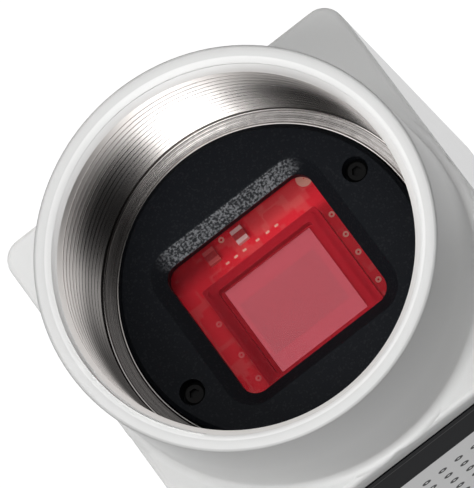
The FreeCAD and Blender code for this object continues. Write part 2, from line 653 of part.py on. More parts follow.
def jack_body():
    y_end = Y_JACK_END
    fit = 2 * JACK_WALL + 0.04
    body = bar(JACK[0] - fit, JACK[1] - fit, 0.1, Y_JACK + JACK_WALL + 0.02, y_end - 0.35, 0, JACK_MID_Z)
    floor = Z_BOARD + PORT_FLOOR
    port_z = floor + PORT[1] / 2
    port = bar(PORT[0], PORT[1], 0.3, y_end - PORT_DEPTH, y_end + 1, 0, port_z)
    slot = block(-LATCH_SLOT[0] / 2, LATCH_SLOT[0] / 2, y_end - PORT_DEPTH, y_end + 1,
                 floor - LATCH_SLOT[1] + LATCH_LEDGE[1], floor + 0.2)
    ledge = block(-LATCH_LEDGE[0] / 2, LATCH_LEDGE[0] / 2, y_end - PORT_DEPTH + 4, y_end + 1,
                  floor - LATCH_SLOT[1], floor)
    return body.cut([port, slot, ledge])


def jack_contacts():
    """Eight spring strips that slope down into the port from its ceiling."""
    front = Y_JACK_END - CONTACT_FRONT
    back = Y_JACK_END - PORT_DEPTH + CONTACT_BACK
    ceiling = Z_BOARD + PORT_FLOOR + PORT[1]
    strips = []
    for i in range(CONTACT_COUNT):
        x = (i - CONTACT_COUNT / 2) * CONTACT_PITCH + (CONTACT_PITCH - CONTACT) / 2
        corners = [V(x, front, ceiling), V(x, front, ceiling - CONTACT),
                   V(x, back, ceiling - CONTACT_DROP - CONTACT), V(x, back, ceiling - CONTACT_DROP)]
        side = Part.Face(Part.makePolygon(corners + corners[:1]))
        strips.append(side.extrude(V(CONTACT, 0, 0)))
    return Part.makeCompound(strips)


# ---- round connector and status light -----------------------------------------------------------
def io_connector_shell():
    mouth = IO_R - IO_STEP
    groove = mouth - IO_GROOVE
    shell = turned([(0, Y_REAR - IO_BODY_LENGTH), (IO_R, Y_REAR - IO_BODY_LENGTH), (IO_R, Y_REAR),
                    (IO_FLANGE_R, Y_REAR), (IO_FLANGE_R, Y_REAR + IO_FLANGE_T),
                    (mouth, Y_REAR + IO_FLANGE_T), (mouth, Y_END - IO_GROOVE_Y[1]),
                    (groove, Y_END - IO_GROOVE_Y[1]), (groove, Y_END - IO_GROOVE_Y[0]),
                    (mouth, Y_END - IO_GROOVE_Y[0]), (mouth, Y_END - IO_GROOVE),
                    (groove, Y_END), (0, Y_END)], IO_X, IO_Z)
    bore = rod(IO_BORE_R, Y_REAR - IO_BODY_LENGTH + IO_WALL, Y_END + 1, IO_X, IO_Z)
    return shell.cut(bore)


def io_connector_insulator():
    face = Y_END - IO_BORE_DEPTH
    core = rod(IO_BORE_R - IO_FIT, Y_REAR - IO_BODY_LENGTH + IO_WALL, face, IO_X, IO_Z)
    half = IO_KEY / 2
    key_top = IO_Z + IO_BORE_R - IO_FIT * 5
    key = block(IO_X - half, IO_X + half, face, Y_END - IO_KEY_SHORT, key_top - half, key_top)
    return joined([core, key])


def io_connector_pins():
    pins = []
    for i in range(IO_PINS):
        angle = math.radians(60 * i + 30)
        pins.append(rod(IO_PIN_R, Y_END - IO_BORE_DEPTH, Y_END - IO_PIN_SHORT,
                        IO_X + IO_PIN_CIRCLE_R * math.cos(angle),
                        IO_Z + IO_PIN_CIRCLE_R * math.sin(angle)))
    return Part.makeCompound(pins)


def io_connector_nut():
    top = Y_PLATE
    ring = rod(IO_NUT_R, top - IO_NUT_T, top, IO_X, IO_Z)
    ring = ring.cut(rod(IO_R + THREAD_FIT, top - IO_NUT_T - 1, top + 1, IO_X, IO_Z))
    slot = block(IO_X - 6, IO_X + 6, top - IO_NUT_T - 1, top - IO_NUT_T + 0.5, IO_Z - 0.5, IO_Z + 0.5)
    return ring.cut(slot)


def status_light_pipe():
    tip = Y_REAR + LIGHT_PROUD
    head = turned([(0, Y_PLATE - 0.2), (LIGHT_R, Y_PLATE - 0.2), (LIGHT_R, tip - LIGHT_PROUD),
                   (LIGHT_R - LIGHT_PROUD, tip), (0, tip)], LIGHT_X, LIGHT_Z)
    half = LIGHT_ARM / 2
    arm = block(LIGHT_X - half, LIGHT_X + half, Y_LIGHT - half, Y_PLATE, LIGHT_Z - half, LIGHT_Z + half)
    foot = block(LIGHT_X - half, LIGHT_X + half, Y_LIGHT - half, Y_LIGHT + half,
                 Z_POWER_TOP + LED[2] + BOARD_EDGE / 2, LIGHT_Z)
    return joined([head, arm, foot])


NODES = {
    "front_housing": front_housing, "housing_seal": housing_seal, "housing_sleeve": housing_sleeve,
    "nameplate": nameplate, "rear_plate": rear_plate, "tie_screws": tie_screws,
    "filter_frame": filter_frame, "filter_glass": filter_glass,
    "filter_frame_screws": filter_frame_screws, "sensor_package": sensor_package,
    "sensor_die": sensor_die, "sensor_cover_glass": sensor_cover_glass, "sensor_seal": sensor_seal,
    "sensor_board": sensor_board, "sensor_board_chips": sensor_board_chips,
    "sensor_board_screws": sensor_board_screws, "sensor_link_plug": sensor_link_plug,
    "processor_link_socket": processor_link_socket, "processor_board": processor_board,
    "processor_chip": processor_chip, "processor_heat_pad": processor_heat_pad,
    "memory_chips": memory_chips, "network_transformer": network_transformer,
    "board_header": board_header, "board_pillars": board_pillars, "power_board": power_board,
    "power_coils": power_coils, "power_capacitors": power_capacitors, "status_led": status_led,
    "status_light_pipe": status_light_pipe, "jack_shield": jack_shield, "jack_body": jack_body,
    "jack_contacts": jack_contacts, "io_connector_shell": io_connector_shell,
    "io_connector_insulator": io_connector_insulator, "io_connector_pins": io_connector_pins,
    "io_connector_nut": io_connector_nut,
}

os.makedirs("parts", exist_ok=True)
for name, make in NODES.items():
    shape = make()
    shape.translate(V(0, 0, 0).sub(ORIGIN))
    shape.exportStep("parts/" + name + ".step")
    print("%-24s solids %d  volume %9.3f  valid %s" % (name, len(shape.Solids), shape.Volume,
                                                      shape.isValid()))
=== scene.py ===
"""Looks of a cube-type machine vision camera: finishes for its solids, and the fine pieces they lack.

The frame's solids are loaded first. Each operator below finishes or adds one group of pieces, and the
panel lists them in the order in which they are run. Sizes in the code are millimetres about the optical
axis: x across, y back from the front of the lens mount, z up.
"""

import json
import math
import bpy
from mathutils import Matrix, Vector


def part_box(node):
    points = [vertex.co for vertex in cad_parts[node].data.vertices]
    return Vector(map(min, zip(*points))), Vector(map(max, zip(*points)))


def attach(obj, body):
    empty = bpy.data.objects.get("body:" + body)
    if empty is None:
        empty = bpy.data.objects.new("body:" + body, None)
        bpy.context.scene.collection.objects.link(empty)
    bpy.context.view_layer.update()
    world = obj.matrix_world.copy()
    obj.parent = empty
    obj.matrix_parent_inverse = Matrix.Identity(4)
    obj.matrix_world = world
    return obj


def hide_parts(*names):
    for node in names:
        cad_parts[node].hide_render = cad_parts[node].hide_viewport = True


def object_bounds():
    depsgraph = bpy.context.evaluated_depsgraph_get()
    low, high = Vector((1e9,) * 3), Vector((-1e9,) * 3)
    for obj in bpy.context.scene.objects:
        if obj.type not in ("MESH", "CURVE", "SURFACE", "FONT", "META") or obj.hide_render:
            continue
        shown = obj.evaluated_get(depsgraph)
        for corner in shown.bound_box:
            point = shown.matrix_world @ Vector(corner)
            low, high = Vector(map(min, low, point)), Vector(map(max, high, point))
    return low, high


bl_info = {
    "name": "Machine Vision Camera",
    "version": (1, 0, 0),
    "blender": (4, 5, 0),
    "location": "View3D > Sidebar > Camera Body",
    "description": "Finishes and fine pieces of a cube-type camera with a threaded lens mount",
    "category": "Object",
}

import bmesh
import bpy
from mathutils import Matrix, Vector

MM = 0.001
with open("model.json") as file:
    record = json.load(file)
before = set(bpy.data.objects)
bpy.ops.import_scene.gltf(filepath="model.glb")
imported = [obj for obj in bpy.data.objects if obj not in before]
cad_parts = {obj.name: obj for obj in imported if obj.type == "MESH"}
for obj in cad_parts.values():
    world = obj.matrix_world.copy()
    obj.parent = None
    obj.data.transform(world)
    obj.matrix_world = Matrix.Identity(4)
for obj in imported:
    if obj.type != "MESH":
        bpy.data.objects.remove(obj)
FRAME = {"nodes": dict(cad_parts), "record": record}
NODES = FRAME["nodes"]
CAD_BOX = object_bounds()


def span(node):
    """Lowest and highest corner of a solid, in millimetres about the optical axis."""
    low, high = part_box(node)
    return (low - CENTRE) / MM, (high - CENTRE) / MM


FRONT_LOW, FRONT_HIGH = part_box("front_housing")
CENTRE = Vector((0.0, FRONT_LOW.y, (FRONT_LOW.z + FRONT_HIGH.z) / 2))
BOARD_Y = span("sensor_board")[0].y
DIE_Y = span("sensor_die")[0].y
LABEL_Y = span("nameplate")[0].y

# ---- sizes -------------------------------------------------------------------------------------
INCH = 25.4
# lens thread: where it starts on the axis, its turns, the cone that its first ridge ends on, steps a turn
THREAD_START, THREAD_TURNS, THREAD_CONE, THREAD_STEPS = 0.1, 14.4, 13.06, 144
# one ridge, as fractions of the pitch along the axis: foot, crest, crest, foot
RIDGE = (0.045, 0.43, 0.57, 0.955)
SCREW_THREADS = {"base_screws": (0.5, 4.8), "jack_lock_screws": (0.4, 5.5)}    # pitch in mm, turns
SCREW_STEPS, SCREW_INSET = 40, 0.1
# parts of the front casting, as radii and depths: turned bright, the lead-in painted paler as a painted
# highlight, the barrel behind the rim darkened with painted shade
TURNED_BORE = ((0.0, 13.2), (0.9, 14.0))
LEAD_IN_HIGHLIGHT = ((12.6, 13.1), (-1.0, 0.9))
RIM_SHADE = ((13.7, 14.6), (0.8, 7.0))
# painted shade: the thread is painted darker between these depths
THREAD_SHADE = (2.0, 8.0)    # depths between which the thread darkens
# section of the turned ring at the thread's foot: radius and depth
SEAT_RING = (
    (12.3, 11.95), (12.28, 11.58), (12.22, 11.49), (12.15, 11.46), (12.08, 11.49), (12.03, 11.56),
    (11.32, 11.78), (11.27, 11.68), (11.2, 11.64), (11.13, 11.66), (11.08, 11.74), (11.08, 12.2))
SEAT_RING_FLAT = (11.3, 12.03)
TURNED_STEPS = 192
# funnel slope painted lighter in a coarse grain, a painted sheen where light falls: across, up and back
SHEEN_SLOPE = ((-5.6, 5.2), (-6.6, -5.45), (11.12, 12.1))
# the sensor's light-sensitive field: size and middle, on the front of the chip
ACTIVE_SIZE = (6.5, 0.012, 4.45)
ACTIVE_MIDDLE = (0.13, 0.03)
# board: vias (outer and inner radius, places), pads (size, places in one row), the round pad, the copper
# field under the mask (across and up), and how far rings stand out
VIA_RADII = (0.22, 0.09)
VIAS = ((-5.45, -3.67), (-5.42, -1.90), (-5.38, -0.32), (-5.35, 2.15), (5.41, -2.36), (5.41, 0.41),
        (5.41, 2.49), (1.8, -7.14))
PAD_SIZE = (0.3, 0.04, 0.16)
PADS_X, PADS_Z = (2.39, 1.65, 0.90, -0.25, -1.13, -1.90), -5.51
ROUND_PAD_RADII, ROUND_PAD = (0.6, 0.05), (-5.38, -7.01)
COPPER_FIELD = ((-4.98, -0.28), (-7.36, -5.66))
RING_HEIGHT = 0.03
RING_STEPS = 24
MASKED_VIAS_X = 4.8
# the two chips: their middle's height, how far from it their ends lie, and the line that parts them
CHIPS_Z, CHIP_ENDS, CHIPS_SPLIT_X = -6.5, (0.24, 1.0), 1.8
# nameplate: the fine lighter line in its band, a painted edge highlight, and the field of plain rings behind
# it
EDGE_HIGHLIGHT_LINE = (0.75, 0.88)
MARK_PACE = (1.4, 1.9)
MARK_RING = (0.12, 0.36)
MARK_ROWS = (7.2, 18.6)
MARK_REACH = 11.2

# ---- studio ------------------------------------------------------------------------------------
AIM = (-0.31, 0.0, -0.01)
FLOOR_RADIUS, FLOOR_GAP = 1.5, 0.00005    # metres
# name, direction from the object, distance and size in metres, radiance, and whether metal mirrors it
LAMPS = (
    ("key", (0.21, -0.70, 0.68), 0.9, 0.42, 4.0, True),
    ("side", (-0.75, -0.64, 0.12), 1.0, 0.35, 1.0, True),
    ("main", (0.48, -0.84, 0.18), 1.0, 0.4, 11.5, False),
    ("front", (-0.10, -0.98, -0.05), 1.0, 0.5, 13.5, False))
# black cards that metal mirrors: direction, angles of full and of no shade, and how dark
DARK_CARDS = (
    ((-0.40, -0.74, 0.54), 10.0, 25.0, 1.0),
    ((0.78, -0.58, 0.22), 12.0, 30.0, 1.0),
    ((0.54, -0.79, -0.28), 10.0, 24.0, 0.85),
    ((0.86, -0.47, -0.12), 10.0, 22.0, 0.85),
    ((-0.36, -0.93, 0.08), 16.0, 28.0, 0.95),
    ((-0.50, -0.81, -0.30), 12.0, 26.0, 0.8),
    ((-0.78, -0.50, -0.40), 12.0, 30.0, 0.85))


# ---- shader maths ------------------------------------------------------------------------------
class Value:
    """A socket of a shader graph; arithmetic on it adds Math nodes."""

    def __init__(self, graph, socket):
        self.graph, self.socket = graph, socket

    def math(self, operation, *others):
        """This value, then the others, into one Math node."""
        return self.graph.add("ShaderNodeMath", {"operation": operation}, dict(enumerate((self,) + others)))

    def flipped(self, operation, first):
        """A Math node that takes another value first and this one second."""
        return self.graph.add("ShaderNodeMath", {"operation": operation}, {0: first, 1: self})

    def __add__(self, other):
        return self.math("ADD", other)

    __radd__ = __add__

    def __mul__(self, other):
        return self.math("MULTIPLY", other)

    __rmul__ = __mul__

    def __sub__(self, other):
        return self.math("SUBTRACT", other)

    def __rsub__(self, other):
        return self.flipped("SUBTRACT", other)

    def __truediv__(self, other):
        return self.math("DIVIDE", other)

    def __lt__(self, other):
        return self.math("LESS_THAN", other)

    def __gt__(self, other):
        return self.math("GREATER_THAN", other)

    def __abs__(self):
        return self.math("ABSOLUTE")


class Graph:
    """Adds nodes to the tree of a material or of the world."""

    def __init__(self, tree):
        self.tree = tree
        tree.nodes.clear()

    def add(self, kind, settings, inputs, out=0):
        """Add any node: its settings first, then its sockets' values or links; gives one output."""
        node = self.tree.nodes.new(kind)
        for name, value in settings.items():
            setattr(node, name, value)
        for name, value in inputs.items():
            if isinstance(value, Value):
                self.tree.links.new(value.socket, node.inputs[name])
            else:
                node.inputs[name].default_value = value
        return Value(self, node.outputs[out])

    def rays(self, *kinds):
        """1 for any of the named kinds of ray, 0 for the rest."""
        seen = [self.add("ShaderNodeLightPath", {}, {}, "Is %s Ray" % kind) for kind in kinds]
        either = seen[0]
        for other in seen[1:]:
            either = either.math("MAXIMUM", other)
        return either

    def remap(self, value, low, high, first, last, style="LINEAR"):
        """Value from the range low to high, clamped and carried to first to last."""
        return self.add("ShaderNodeMapRange", {"interpolation_type": style}, {
            0: value, 1: low, 2: high, 3: first, 4: last})


class Finish(Graph):
    """A material built from nodes round one Principled shader."""

    def __init__(self, name, **settings):
        self.material = bpy.data.materials.new(name)
        self.material.use_nodes = True
        super().__init__(self.material.node_tree)
        self.output = self.tree.nodes.new("ShaderNodeOutputMaterial")
        self.shader = self.tree.nodes.new("ShaderNodeBsdfPrincipled")
        self.tree.links.new(self.shader.outputs[0], self.output.inputs[0])
        self.set(**settings)
        place = self.add("ShaderNodeTexCoord", {}, {}, "Object")
        self.place = self.add("ShaderNodeMapping", {}, {
            "Vector": place, "Location": tuple(-CENTRE / MM), "Scale": (1 / MM,) * 3})
        self.x, self.y, self.z = (self.add("ShaderNodeSeparateXYZ", {}, {0: self.place}, i) for i in range(3))

    def set(self, **sockets):
        """Values or links for the main shader; Base_Color stands for Base Color."""
        for name, value in sockets.items():
            socket = self.shader.inputs[name.replace("_", " ")]
            if isinstance(value, Value):
                self.tree.links.new(value.socket, socket)
            elif name.endswith("Color"):
                socket.default_value = tuple(value)[:3] + (1.0,)
            else:
                socket.default_value = value
        return self

    def noise(self, scale, detail=2.0, stretch=(1, 1, 1), roughness=0.5):
        """Cloudy pattern, scale to the millimetre."""
        place = self.add("ShaderNodeMapping", {}, {"Vector": self.place, "Scale": stretch})
        return self.add("ShaderNodeTexNoise", {}, {
            "Vector": place, "Scale": scale, "Detail": detail, "Roughness": roughness})

    def rings(self, pace, detail):
        """Streaks that vary only with the given value, as a cutting tool leaves them."""
        return self.add("ShaderNodeTexNoise", {"noise_dimensions": "1D"}, {
            "W": pace, "Scale": 1.0, "Detail": detail})

    def cells(self, scale, out="Distance", **settings):
        """Cell pattern, scale to the millimetre."""
        return self.add("ShaderNodeTexVoronoi", settings, {"Vector": self.place, "Scale": scale}, out)

    def mix(self, factor, first, second):
        """First colour where factor is 0, second where it is 1."""
        def colour(value):
            return value if isinstance(value, Value) else tuple(value)[:3] + (1.0,)

        return self.add("ShaderNodeMix", {"data_type": "RGBA", "blend_type": "MIX"}, {
            0: factor, 6: colour(first), 7: colour(second)}, 2)

    def between(self, value, low, high, soft=0.02):
        """1 where low < value < high, with soft edges."""
        return (self.remap(value, low - soft, low + soft, 0.0, 1.0, "SMOOTHSTEP")
                * self.remap(value, high - soft, high + soft, 1.0, 0.0, "SMOOTHSTEP"))

    def radius(self):
        """Distance from the optical axis."""
        return (self.x * self.x + self.z * self.z).math("SQRT")

    def bump(self, height, strength, distance=0.02):
        """Relief of the given depth in millimetres."""
        normal = self.add("ShaderNodeBump", {}, {
            "Height": height, "Strength": strength, "Distance": distance * MM})
        return self.set(Normal=normal)


def shaded(base, amount):
    """The colour made darker or lighter, none of its parts above 1."""
    return tuple(min(1.0, c * amount) for c in tuple(base)[:3])


# ---- finishes ----------------------------------------------------------------------------------
def blasted_aluminium(name, colour, roughness, metallic):
    """Fine-blasted cast or extruded aluminium."""
    finish = Finish(name, IOR=1.5)
    cloud = finish.noise(0.35, 3.0)
    grain = finish.noise(9.0, 2.0)
    base = finish.mix(cloud, shaded(colour, 0.95), shaded(colour, 1.04))
    finish.set(Base_Color=finish.mix(grain * 0.25, base, shaded(colour, 0.82)),
               Roughness=roughness - 0.05 + grain * 0.1, Metallic=metallic)
    finish.bump(grain, 0.25, 0.01)
    return finish


def front_casting(settings):
    """The cast front: blasted outside, its lead-in painted paler as a painted highlight, painted shade on the
    barrel behind the rim, turned bright in the bore and on the shoulder.
    """
    finish = blasted_aluminium("front_casting_finish", settings.casting_colour, 0.42, 0.0)
    radius = finish.radius()
    radii, depths = TURNED_BORE
    bore = finish.between(radius, *radii, 0.03) * finish.between(finish.y, *depths, 0.15)
    radii, depths = LEAD_IN_HIGHLIGHT
    painted_lead_in_highlight = finish.between(radius, *radii, 0.05) * finish.between(finish.y, *depths, 0.15)
    grain = finish.noise(9.0, 2.0)
    outside = finish.mix(grain * 0.2, settings.casting_colour, shaded(settings.casting_colour, 0.85))
    # painted highlight: the lead-in is painted paler than the casting
    outside = finish.mix(painted_lead_in_highlight, outside, shaded(settings.casting_colour, 1.25))
    radii, depths = RIM_SHADE
    # painted shade: the barrel just behind the rim is painted darker, fading towards the back
    painted_rim_shade = finish.between(radius, *radii, 0.05) * finish.remap(finish.y, *depths, 1.0, 0.0)
    outside = finish.mix(painted_rim_shade, outside, shaded(settings.casting_colour, 0.8))
    rings = finish.rings(radius * 9.0 + finish.y * 11.0, 3.0)
    turned = finish.mix(rings, shaded(settings.bore_colour, 0.62), shaded(settings.bore_colour, 1.25))
    finish.set(Base_Color=finish.mix(bore, outside, turned),
               Metallic=0.10 + bore * finish.remap(finish.y, 1.0, 6.0, 0.2, 0.82),
               Roughness=0.42 - bore * 0.16 + grain * 0.04)
    finish.bump(grain * (1 - bore) + rings * bore * 0.6, 0.25, 0.01)
    return finish


def turned_ring(name, colour):
    """Face-turned metal with fine rings about the optical axis; its edges painted lighter as painted
    highlights, and painted shade darker towards one side.
    """
    finish = Finish(name, Metallic=1.0)
    radius = finish.radius()
    fine, coarse = (finish.rings(radius * pace, 2.0) for pace in (22.0, 5.0))
    patches = finish.noise(1.6, 3.0)
    flat = finish.mix(patches, shaded(colour, 0.75), shaded(colour, 1.25))
    edges = 1 - finish.between(radius, *SEAT_RING_FLAT)
    # painted shade: flat and edges painted darker towards +x
    shade = finish.remap(finish.x, -1.0, 6.0, 0.0, 1.0)
    flat = finish.mix(shade, flat, shaded(colour, 0.17))
    # painted highlight: the ring's edges painted lighter than its flat
    line = finish.mix(shade, shaded(colour, 1.6), shaded(colour, 0.5))
    finish.set(Base_Color=finish.mix(edges, flat, line), Roughness=0.22)
    finish.bump((fine + coarse * 0.6) * (1 - edges), 0.6, 0.03)
    return finish


def thread_metal(settings, crest):
    """Turned thread: matt crests, a painted highlight at the mouth as pale as the casting's lead-in, and
    painted shade darker with depth and to one side.
    """
    finish = Finish("thread_finish")
    radius = finish.radius()
    rings = finish.rings(radius * 14.0 + finish.y * 3.0, 3.0)
    deep = finish.remap(finish.y, 1.0, 6.0, 0.0, 1.0)
    land = finish.between(radius, 0.0, crest + 0.05, 0.02) * (1 - deep)
    metal = finish.mix(rings, shaded(settings.bore_colour, 0.9), shaded(settings.bore_colour, 1.15))
    # painted shade: darker with depth, most towards +x
    shade = finish.remap(finish.y, *THREAD_SHADE, 0.0, 1.0) * finish.remap(finish.x, 0.0, 5.0, 0.25, 1.0)
    metal = finish.mix(shade, metal, shaded(settings.bore_colour, 0.42))
    # painted shade: darker still with depth towards +x and +z
    lower = (finish.remap(finish.y, *THREAD_SHADE, 0.0, 1.0)
             * finish.remap(finish.x + finish.z, 0.0, 10.0, 0.0, 1.0))
    metal = finish.mix(lower, metal, shaded(settings.bore_colour, 0.1))
    metal = finish.mix(land, metal, shaded(settings.bore_colour, 1.1))
    # painted highlight: the mouth painted as pale as the casting's lead-in
    mouth = finish.remap(finish.y, 0.5, 1.3, 1.0, 0.0)
    finish.set(Base_Color=finish.mix(mouth, metal, shaded(settings.casting_colour, 1.25)),
               Metallic=(1 - land * 0.4) * (1 - mouth * 0.85),
               Roughness=0.36 - deep * 0.16 + rings * 0.06)
    return finish


def grained_black_painted_sheen(name, colour, sparkle):
    """Matt black moulding, with a coarser grain painted lighter on the long lower slope of its funnel, a
    painted sheen.
    """
    finish = Finish(name, Specular_IOR_Level=0.1)
    grain = finish.noise(7.0, 3.0, roughness=0.7)
    facets = finish.cells(9.0, "Color")
    glint = finish.add("ShaderNodeSeparateColor", {}, {0: facets}, 0) > 0.86
    across, up, back = SHEEN_SLOPE
    slope = (finish.between(finish.z, *up, 0.05) * finish.between(finish.x, *across, 0.9)
             * finish.between(finish.y, *back, 0.03))
    coarse = finish.remap(finish.noise(6.0, 2.0), 0.42, 0.7, 0.08, 1.35)
    dark = finish.mix(glint * sparkle, colour, (0.02, 0.021, 0.023))
    # painted sheen: the lower slope painted grey in a coarse grain
    finish.set(Base_Color=finish.mix(slope * coarse, dark, (0.19, 0.195, 0.205)),
               Roughness=0.5 - glint * sparkle * 0.2)
    finish.bump(grain, 0.7, 0.05)
    return finish


def soft_rubber(name, colour):
    """Matt rubber or gap pad."""
    finish = Finish(name)
    grain = finish.noise(12.0, 2.0)
    finish.set(Base_Color=finish.mix(grain, shaded(colour, 0.8), shaded(colour, 1.3)), Roughness=0.8)
    finish.bump(grain, 0.3, 0.01)
    return finish


def moulded_plastic(name, colour, roughness=0.45):
    """Plastic, ceramic or epoxy with a faint moulded grain."""
    finish = Finish(name)
    grain = finish.noise(14.0, 3.0)
    finish.set(Base_Color=finish.mix(grain, shaded(colour, 0.85), shaded(colour, 1.15)),
               Roughness=roughness - 0.05 + grain * 0.1)
    finish.bump(grain, 0.15, 0.01)
    return finish


def plated_metal(name, colour, roughness=0.25):
    """Plated metal, faintly brushed."""
    finish = Finish(name, Metallic=1.0)
    brush = finish.noise(3.0, 3.0, (1, 8, 8))
    finish.set(Base_Color=finish.mix(brush, shaded(colour, 0.85), shaded(colour, 1.1)),
               Roughness=roughness - 0.05 + brush * 0.12)
    finish.bump(brush, 0.1, 0.005)
    return finish


def laminate(name, colour, copper):
    """Solder mask over a woven laminate, paler where copper lies under it."""
    finish = Finish(name, Specular_IOR_Level=0.25)
    weave = finish.add("ShaderNodeTexWave", {"wave_type": "BANDS"}, {
        "Vector": finish.place, "Scale": 4.0, "Distortion": 1.0})
    tracks = finish.cells(0.9, "Distance", distance="CHEBYCHEV") > 0.55
    across, up = COPPER_FIELD
    tracks = tracks + finish.between(finish.x, *across, 0.08) * finish.between(finish.z, *up, 0.08)
    buried = tracks * 0.35
    mask = finish.mix(weave * 0.1, colour, shaded(colour, 0.8))
    finish.set(Base_Color=finish.mix(buried, mask, copper), Roughness=0.35)
    finish.bump(tracks, 0.3, 0.02)
    return finish


def silicon(name, colour, scale, detail, spread, roughness):
    """Mirror-flat silicon, its colour varying by the given spread."""
    finish = Finish(name, Metallic=1.0)
    cloud = finish.noise(scale, detail)
    finish.set(Base_Color=finish.mix(cloud, shaded(colour, 1 - spread), shaded(colour, 1 + spread)),
               Roughness=roughness)
    return finish


def tinned_chips():
    """The two small parts on the board's front, with tinned ends painted pale and matt as a painted
    highlight, redder on one side.
    """
    finish = Finish("front_chip_finish")
    painted_tin_highlight = finish.between(abs(finish.z - CHIPS_Z), *CHIP_ENDS, 0.03)
    grain = finish.noise(10.0, 2.0)
    # painted highlight: the tinned ends painted pale in place of shiny solder
    metal = finish.mix(finish.x > CHIPS_SPLIT_X, (1.0, 0.85, 0.82), (0.75, 0.18, 0.17))
    body = finish.mix(grain, (0.40, 0.045, 0.05), (0.5, 0.07, 0.07))
    finish.set(Base_Color=finish.mix(painted_tin_highlight, body, metal), Roughness=0.4)
    return finish


def printed_foil(settings):
    """The nameplate: silver foil, a black band with a fine lighter line painted as an edge highlight, and a
    field of plain rings.
    """
    finish = Finish("nameplate_finish", Specular_IOR_Level=0.03)
    y = finish.y - LABEL_Y
    band = finish.between(y, -1.0, settings.label_band / MM, 0.02)
    line = finish.between(y, *EDGE_HIGHLIGHT_LINE, 0.03)
    grain = finish.noise(6.0, 2.0)
    foil = finish.mix(grain * 0.3, settings.label_colour, shaded(settings.label_colour, 0.8))
    # painted highlight: the grey line in the black band stands for a lit edge
    black = finish.mix(line, (0.008, 0.0085, 0.01), (0.09, 0.09, 0.09))
    across, back = MARK_PACE
    column, row = ((value / pace).math("FRACT") - 0.5
                   for value, pace in ((finish.x, across), (y - MARK_ROWS[0], back)))
    from_middle = (column * column * across ** 2 + row * row * back ** 2).math("SQRT")
    marks = (finish.between(from_middle, *MARK_RING, 0.04) * (abs(finish.x) < MARK_REACH)
             * (y > MARK_ROWS[0]) * (y < MARK_ROWS[1]))
    foil = finish.mix(marks, foil, (0.012, 0.012, 0.013))
    finish.set(Base_Color=finish.mix(band, foil, black), Roughness=0.45 + band * 0.1,
               Metallic=0.7 - band * 0.7)
    finish.bump(grain, 0.1, 0.01)
    return finish


def glass(name, colour, opacity, roughness=0.04, gloss=0.2):
    """Thin coated glass, nearly clear."""
    finish = Finish(name, Specular_IOR_Level=gloss)
    dust = finish.noise(2.5, 2.0)
    finish.set(Base_Color=finish.mix(dust, shaded(colour, 0.97), colour), Roughness=roughness,
               Alpha=opacity * 0.9 + dust * opacity * 0.2)
    return finish


def wear_finish(node, finish):
    """Give a solid its finish; its mesh stays as it is."""
    slots = NODES[node].data.materials
    slots.clear()
    slots.append(finish.material)


# ---- making pieces -----------------------------------------------------------------------------
def local(x, y, z):
    """Row coordinates of a place given in millimetres about the optical axis."""
    return CENTRE + Vector((x, y, z)) * MM


def piece(name, mesh, finish, sharp_from=None):
    """Turn a bmesh, drawn in millimetres about the optical axis, into a piece of the object.

    With sharp_from it is shaded smooth, but for edges where faces meet at more than that many degrees.
    """
    bmesh.ops.transform(mesh, matrix=Matrix.Translation(CENTRE) @ Matrix.Scale(MM, 4), verts=mesh.verts)
    data = bpy.data.meshes.new(name)
    mesh.to_mesh(data)
    mesh.free()
    if sharp_from is not None:
        data.shade_smooth()
        data.set_sharp_from_angle(angle=math.radians(sharp_from))
    data.materials.append(finish.material)
    made = bpy.data.objects.new(name, data)
    bpy.context.scene.collection.objects.link(made)
    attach(made, "root")


def add_block(mesh, size, centre):
    """Box of the given size."""
    bmesh.ops.create_cube(mesh, size=1.0, matrix=Matrix.LocRotScale(Vector(centre), None, Vector(size)))


def add_ring(mesh, outer, inner, x, z):
    """Flat ring standing on the front of the sensor's board."""
    y = BOARD_Y
    profile = [mesh.verts.new((x + r, y - t, z)) for r, t in (
        (inner, 0.0), (inner, RING_HEIGHT), (outer, RING_HEIGHT), (outer, 0.0))]
    edges = [mesh.edges.new((profile[i], profile[(i + 1) % 4])) for i in range(4)]
    bmesh.ops.spin(mesh, geom=profile + edges, cent=(x, y, z), axis=(0, 1, 0), dvec=(0, 0, 0),
                   angle=math.tau, steps=RING_STEPS, use_merge=True)


def add_thread(mesh, root, crest, pitch, start, turns, axis, steps, cone=None):
    """Helical ridge standing inwards from a bore's wall; start is on the bore's axis.

    Where a cone is given, the ridge is pushed out to a wall of that radius at the start, narrowing at
    45 degrees, so the thread begins in a chamfer.
    """
    axis = Vector(axis)
    side = axis.orthogonal().normalized()
    profile = [mesh.verts.new(Vector(start) + side * r + axis * t * pitch)
               for r, t in zip((root, crest, crest, root), RIDGE)]
    edges = [mesh.edges.new((profile[i], profile[(i + 1) % 4])) for i in range(4)]
    made = bmesh.ops.spin(mesh, geom=profile + edges, cent=start, axis=axis, dvec=axis * pitch / steps,
                          angle=math.tau * turns, steps=round(turns * steps), use_merge=False)
    last = [e for e in made["geom_last"] if isinstance(e, bmesh.types.BMEdge)]
    bmesh.ops.edgeloop_fill(mesh, edges=edges)
    bmesh.ops.edgeloop_fill(mesh, edges=last)
    if cone:
        for vert in mesh.verts:
            along = (vert.co - Vector(start)).dot(axis)
            foot = Vector(start) + axis * along
            arm = vert.co - foot
            if arm.length < cone - along:
                vert.co = foot + arm.normalized() * min(root, cone - along)


